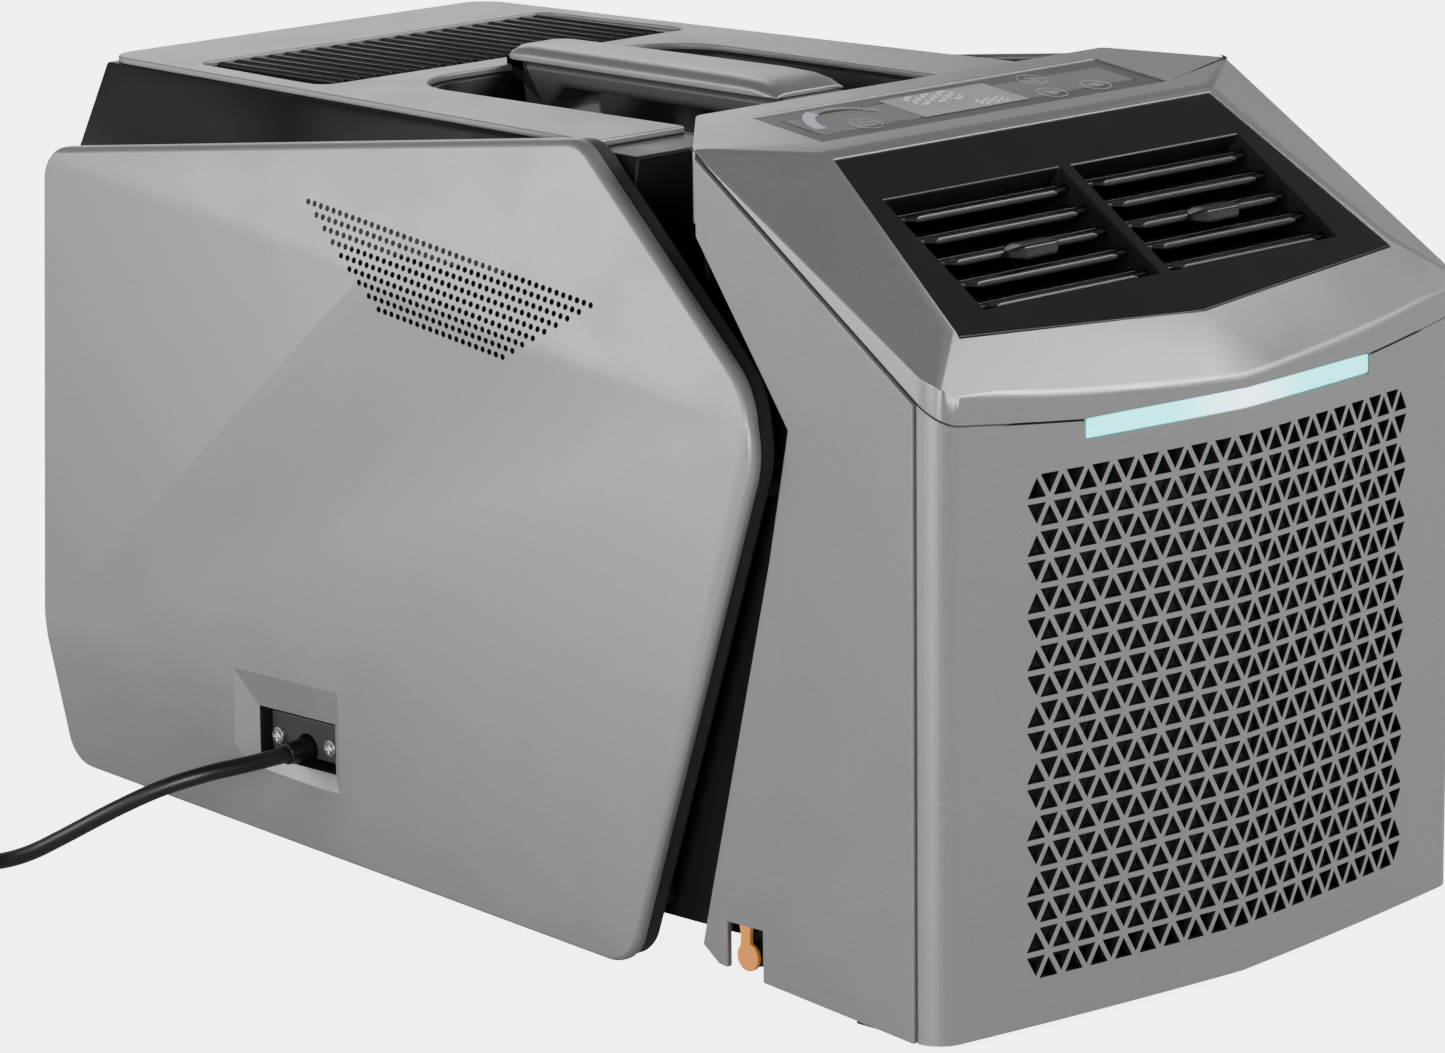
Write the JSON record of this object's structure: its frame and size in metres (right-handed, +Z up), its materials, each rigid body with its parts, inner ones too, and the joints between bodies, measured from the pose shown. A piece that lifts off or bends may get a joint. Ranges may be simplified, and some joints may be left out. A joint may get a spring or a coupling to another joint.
{
  "type": "portable air conditioner",
  "caption": "Portable spot air conditioner with carrying handle, sloping louvred outlets, triangular-lattice intake grille, faceted side panels and mains lead.",
  "frame": {"origin": "on the floor under the middle of the housing", "axes": "+Z up, the front intake grille faces -Y, +X is on the right of someone who looks at the front"},
  "size_m": [0.4998, 0.5621, 0.331],
  "materials": {
    "silver_paint": "satin metallic paint",
    "cap_paint": "satin metallic paint",
    "handle_grey": "fine texture",
    "carrier_grey": "fine texture",
    "black_plastic": "fine texture",
    "blade_plastic": "satin",
    "panel_grey": "satin",
    "display_glass": "clear",
    "light_diffuser": "lit diffuser",
    "filter_mesh": "woven mesh",
    "fin_aluminium": "bright fins",
    "copper_tube": "drawn tube",
    "pan_steel": "galvanised",
    "fan_plastic": "moulded",
    "motor_steel": "plated",
    "compressor_paint": "gloss black",
    "board_green": "solder mask",
    "foot_rubber": "matte",
    "bung_rubber": "soft satin",
    "zinc_screw": "zinc plated",
    "lead_pvc": "soft satin"
  },
  "bodies": {
    "housing": {"base_pan": "pan_steel", "blower_housing": "black_plastic", "blower_motor": "motor_steel", "bulkhead": "black_plastic", "clamp_screws": "zinc_screw", "compressor": "compressor_paint", "compressor_grommets": "foot_rubber", "condenser": "fin_aluminium", "control_board": "board_green", "control_panel": "panel_grey", "deck_vent_grille": "black_plastic", "drain_spout": "black_plastic", "drain_tray": "black_plastic", "evaporator": "fin_aluminium", "fan_motor": "motor_steel", "fan_shroud": "black_plastic", "feet": "foot_rubber", "front_base": "black_plastic", "front_fascia": "silver_paint", "handle_lower": "handle_grey", "handle_upper": "cap_paint", "handle_well": "black_plastic", "intake_filter": "filter_mesh", "lead_bush": "lead_pvc", "lead_clamp": "black_plastic", "lead_coil": "lead_pvc", "lead_recess": "black_plastic", "left_front_cover": "silver_paint", "left_panel_carrier": "carrier_grey", "left_side_panel": "silver_paint", "light_bar": "light_diffuser", "lower_body_shell": "black_plastic", "outlet_duct": "black_plastic", "outlet_frame": "black_plastic", "power_lead": "lead_pvc", "power_plug": "lead_pvc", "rear_grille": "black_plastic", "refrigerant_pipes": "copper_tube", "right_front_cover": "silver_paint", "right_panel_carrier": "carrier_grey", "right_side_panel": "silver_paint", "top_cap": "cap_paint", "top_deck": "silver_paint", "touch_glass": "display_glass", "upper_body_shell": "black_plastic"},
    "left_blade_1": {"left_blade_1": "blade_plastic"},
    "left_blade_2": {"left_blade_2": "blade_plastic"},
    "left_blade_3": {"left_blade_3": "blade_plastic", "left_blade_grip": "blade_plastic"},
    "left_blade_4": {"left_blade_4": "blade_plastic"},
    "left_blade_5": {"left_blade_5": "blade_plastic"},
    "right_blade_1": {"right_blade_1": "blade_plastic"},
    "right_blade_2": {"right_blade_2": "blade_plastic"},
    "right_blade_3": {"right_blade_3": "blade_plastic", "right_blade_grip": "blade_plastic"},
    "right_blade_4": {"right_blade_4": "blade_plastic"},
    "right_blade_5": {"right_blade_5": "blade_plastic"},
    "condenser_fan": {"condenser_fan": "fan_plastic"},
    "blower_wheel": {"blower_wheel": "fan_plastic"},
    "drain_bung": {"drain_bung": "bung_rubber"}
  },
  "joints": [
    {"name": "left_louvre_3", "type": "hinge", "parent": "housing", "child": "left_blade_3", "pos_m": [0, -0.19732, 0.28428], "axis": [1, 0, 0], "range_deg": [-35, 3]},
    {"name": "left_louvre_1", "type": "hinge", "parent": "housing", "child": "left_blade_1", "pos_m": [0, -0.17704, 0.29821], "axis": [1, 0, 0], "range_deg": [-35, 3]},
    {"name": "left_louvre_2", "type": "hinge", "parent": "housing", "child": "left_blade_2", "pos_m": [0, -0.18718, 0.29125], "axis": [1, 0, 0], "range_deg": [-35, 3]},
    {"name": "left_louvre_4", "type": "hinge", "parent": "housing", "child": "left_blade_4", "pos_m": [0, -0.20746, 0.27731], "axis": [1, 0, 0], "range_deg": [-35, 3]},
    {"name": "left_louvre_5", "type": "hinge", "parent": "housing", "child": "left_blade_5", "pos_m": [0, -0.21759, 0.27035], "axis": [1, 0, 0], "range_deg": [-35, 3]},
    {"name": "right_louvre_3", "type": "hinge", "parent": "housing", "child": "right_blade_3", "pos_m": [0, -0.19732, 0.28428], "axis": [1, 0, 0], "range_deg": [-35, 3]},
    {"name": "right_louvre_1", "type": "hinge", "parent": "housing", "child": "right_blade_1", "pos_m": [0, -0.17704, 0.29821], "axis": [1, 0, 0], "range_deg": [-35, 3]},
    {"name": "right_louvre_2", "type": "hinge", "parent": "housing", "child": "right_blade_2", "pos_m": [0, -0.18718, 0.29125], "axis": [1, 0, 0], "range_deg": [-35, 3]},
    {"name": "right_louvre_4", "type": "hinge", "parent": "housing", "child": "right_blade_4", "pos_m": [0, -0.20746, 0.27731], "axis": [1, 0, 0], "range_deg": [-35, 3]},
    {"name": "right_louvre_5", "type": "hinge", "parent": "housing", "child": "right_blade_5", "pos_m": [0, -0.21759, 0.27035], "axis": [1, 0, 0], "range_deg": [-35, 3]},
    {"name": "condenser_fan_spin", "type": "hinge", "parent": "housing", "child": "condenser_fan", "pos_m": [0, 0.1527, 0.131], "axis": [0, 1, 0], "continuous": true},
    {"name": "blower_spin", "type": "hinge", "parent": "housing", "child": "blower_wheel", "pos_m": [0, -0.1587, 0.128], "axis": [1, 0, 0], "continuous": true},
    {"name": "drain_bung_pull", "type": "slide", "parent": "housing", "child": "drain_bung", "axis": [-1, 0, 0], "range_m": [0, 0.02]}
  ],
  "couplings": [
    {"joint": "left_louvre_1", "follows": "left_louvre_3", "ratio": 1},
    {"joint": "left_louvre_2", "follows": "left_louvre_3", "ratio": 1},
    {"joint": "left_louvre_4", "follows": "left_louvre_3", "ratio": 1},
    {"joint": "left_louvre_5", "follows": "left_louvre_3", "ratio": 1},
    {"joint": "right_louvre_1", "follows": "right_louvre_3", "ratio": 1},
    {"joint": "right_louvre_2", "follows": "right_louvre_3", "ratio": 1},
    {"joint": "right_louvre_4", "follows": "right_louvre_3", "ratio": 1},
    {"joint": "right_louvre_5", "follows": "right_louvre_3", "ratio": 1}
  ]
}
